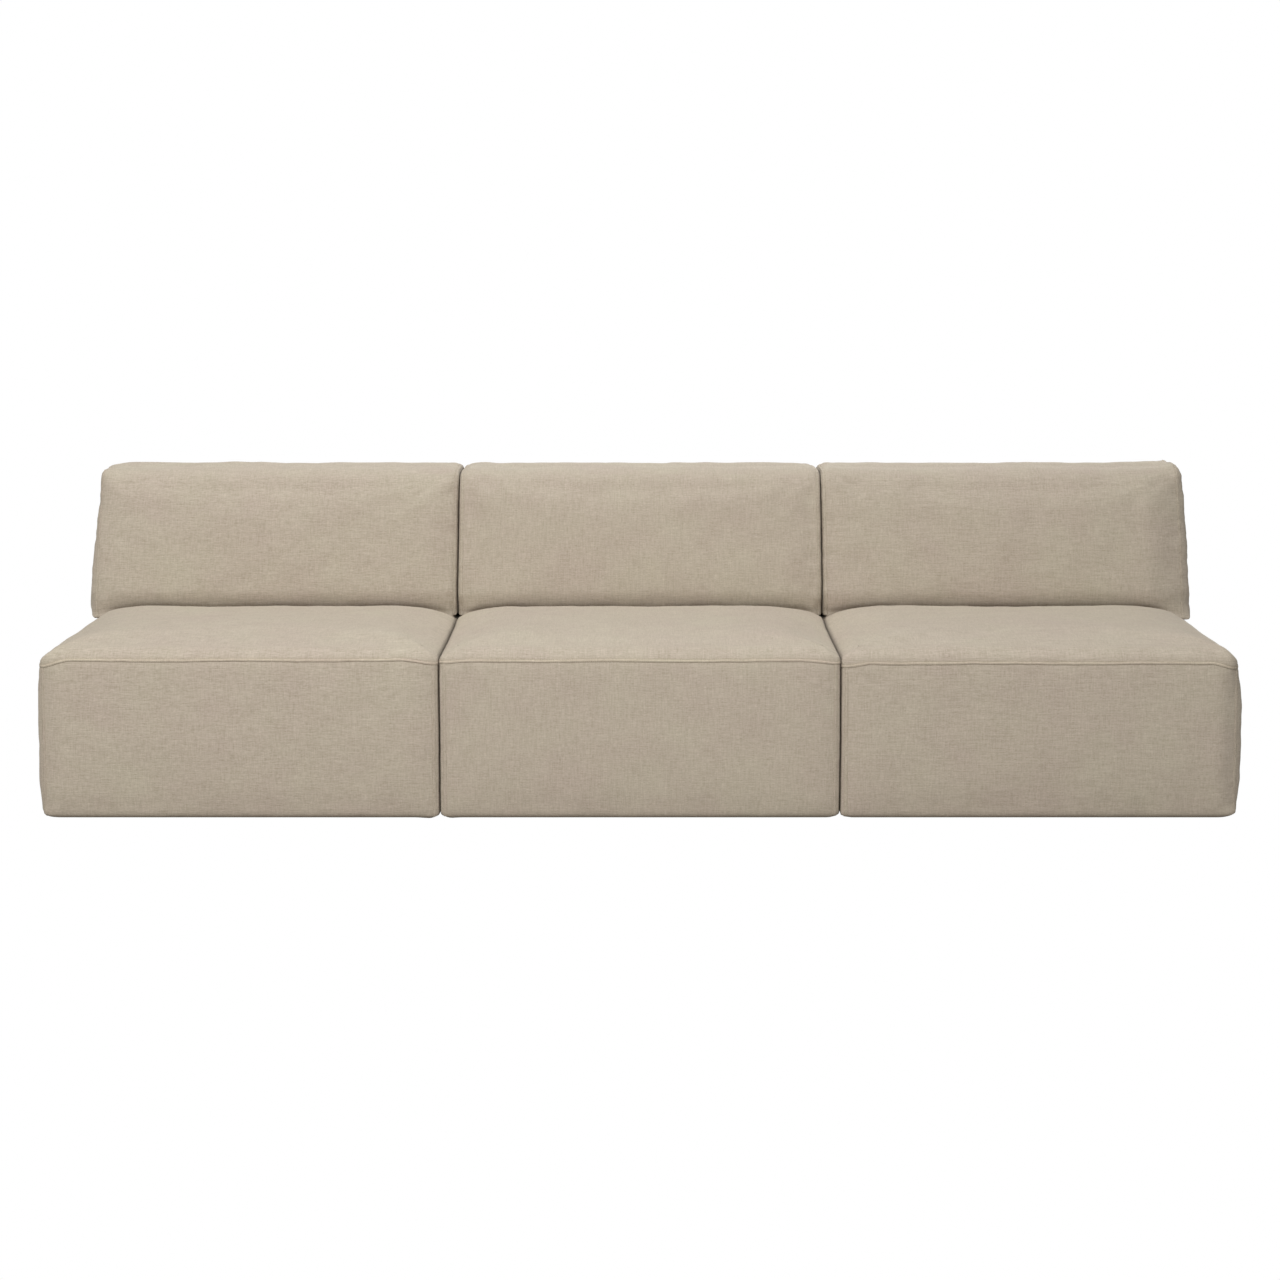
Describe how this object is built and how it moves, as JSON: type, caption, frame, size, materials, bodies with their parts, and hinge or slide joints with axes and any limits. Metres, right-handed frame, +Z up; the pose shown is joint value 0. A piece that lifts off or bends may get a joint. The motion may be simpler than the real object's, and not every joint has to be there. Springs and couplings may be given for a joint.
{
  "type": "armless modular sofa",
  "caption": "Armless low sofa of upholstered seat blocks side by side, each with a leaning back block that lifts off steel tongues, in loose oatmeal linen covers.",
  "frame": {"origin": "on the floor, at the middle of the whole sofa's width and depth", "axes": "+X along the sofa, to the right as seen from the front, +Y from the front to the back, +Z up"},
  "size_m": [2.668, 0.8913, 0.738],
  "materials": {
    "linen": "plain-woven oatmeal linen, matt",
    "foam": "cut polyurethane foam",
    "foam_sheet": "cut foam sheet",
    "plywood": "raw birch plywood",
    "pine": "planed pine",
    "webbing": "woven elastic webbing",
    "felt": "needled felt",
    "dust_cloth": "black spun cloth",
    "glide_plastic": "black moulded plastic",
    "zinc_steel": "bright zinc-plated steel",
    "black_steel": "black powder coat",
    "zip_tape": "woven tape with a nylon coil, beige",
    "zip_metal": "nickel-plated die casting"
  },
  "bodies": {
    "base_left": {"seat_cover_left": "linen", "seat_foam_left": "foam", "side_padding_left": "foam_sheet", "frame_rails_left": "plywood", "corner_blocks_left": "pine", "webbing_left": "webbing", "felt_pad_left": "felt", "dust_cover_left": "dust_cloth", "glides_left": "glide_plastic", "back_tongues_left": "zinc_steel", "tongue_bolts_left": "zinc_steel", "connectors_left": "black_steel"},
    "back_left": {"back_cover_left": "linen", "back_foam_left": "foam", "back_frame_left": "pine", "back_panel_left": "plywood", "tongue_sockets_left": "zinc_steel", "zip_tape_left": "zip_tape"},
    "slider_left": {"zip_slider_left": "zip_metal"},
    "pull_left": {"zip_pull_left": "zip_metal"},
    "base_middle": {"seat_cover_middle": "linen", "seat_foam_middle": "foam", "side_padding_middle": "foam_sheet", "frame_rails_middle": "plywood", "corner_blocks_middle": "pine", "webbing_middle": "webbing", "felt_pad_middle": "felt", "dust_cover_middle": "dust_cloth", "glides_middle": "glide_plastic", "back_tongues_middle": "zinc_steel", "tongue_bolts_middle": "zinc_steel", "connectors_middle": "black_steel"},
    "back_middle": {"back_cover_middle": "linen", "back_foam_middle": "foam", "back_frame_middle": "pine", "back_panel_middle": "plywood", "tongue_sockets_middle": "zinc_steel", "zip_tape_middle": "zip_tape"},
    "slider_middle": {"zip_slider_middle": "zip_metal"},
    "pull_middle": {"zip_pull_middle": "zip_metal"},
    "base_right": {"seat_cover_right": "linen", "seat_foam_right": "foam", "side_padding_right": "foam_sheet", "frame_rails_right": "plywood", "corner_blocks_right": "pine", "webbing_right": "webbing", "felt_pad_right": "felt", "dust_cover_right": "dust_cloth", "glides_right": "glide_plastic", "back_tongues_right": "zinc_steel", "tongue_bolts_right": "zinc_steel", "connectors_right": "black_steel"},
    "back_right": {"back_cover_right": "linen", "back_foam_right": "foam", "back_frame_right": "pine", "back_panel_right": "plywood", "tongue_sockets_right": "zinc_steel", "zip_tape_right": "zip_tape"},
    "slider_right": {"zip_slider_right": "zip_metal"},
    "pull_right": {"zip_pull_right": "zip_metal"}
  },
  "joints": [
    {"name": "module_lift_left", "type": "slide", "parent": "base_middle", "child": "base_left", "axis": [0, 0, 1], "range_m": [0, 0.03]},
    {"name": "module_lift_right", "type": "slide", "parent": "base_middle", "child": "base_right", "axis": [0, 0, 1], "range_m": [0, 0.03]},
    {"name": "back_lift_left", "type": "slide", "parent": "base_left", "child": "back_left", "axis": [0, 0.2079, 0.9781], "range_m": [0, 0.18]},
    {"name": "zip_left", "type": "slide", "parent": "back_left", "child": "slider_left", "axis": [1, 0, 0], "range_m": [0, 0.718]},
    {"name": "zip_pull_swing_left", "type": "hinge", "parent": "slider_left", "child": "pull_left", "pos_m": [-1.25, 0.39226, 0.43057], "axis": [1, 0, 0], "range_deg": [-12, 150]},
    {"name": "back_lift_middle", "type": "slide", "parent": "base_middle", "child": "back_middle", "axis": [0, 0.2079, 0.9781], "range_m": [0, 0.18]},
    {"name": "zip_middle", "type": "slide", "parent": "back_middle", "child": "slider_middle", "axis": [1, 0, 0], "range_m": [0, 0.718]},
    {"name": "zip_pull_swing_middle", "type": "hinge", "parent": "slider_middle", "child": "pull_middle", "pos_m": [-0.36, 0.39226, 0.43057], "axis": [1, 0, 0], "range_deg": [-12, 150]},
    {"name": "back_lift_right", "type": "slide", "parent": "base_right", "child": "back_right", "axis": [0, 0.2079, 0.9781], "range_m": [0, 0.18]},
    {"name": "zip_right", "type": "slide", "parent": "back_right", "child": "slider_right", "axis": [1, 0, 0], "range_m": [0, 0.718]},
    {"name": "zip_pull_swing_right", "type": "hinge", "parent": "slider_right", "child": "pull_right", "pos_m": [0.53, 0.39226, 0.43057], "axis": [1, 0, 0], "range_deg": [-12, 150]}
  ]
}
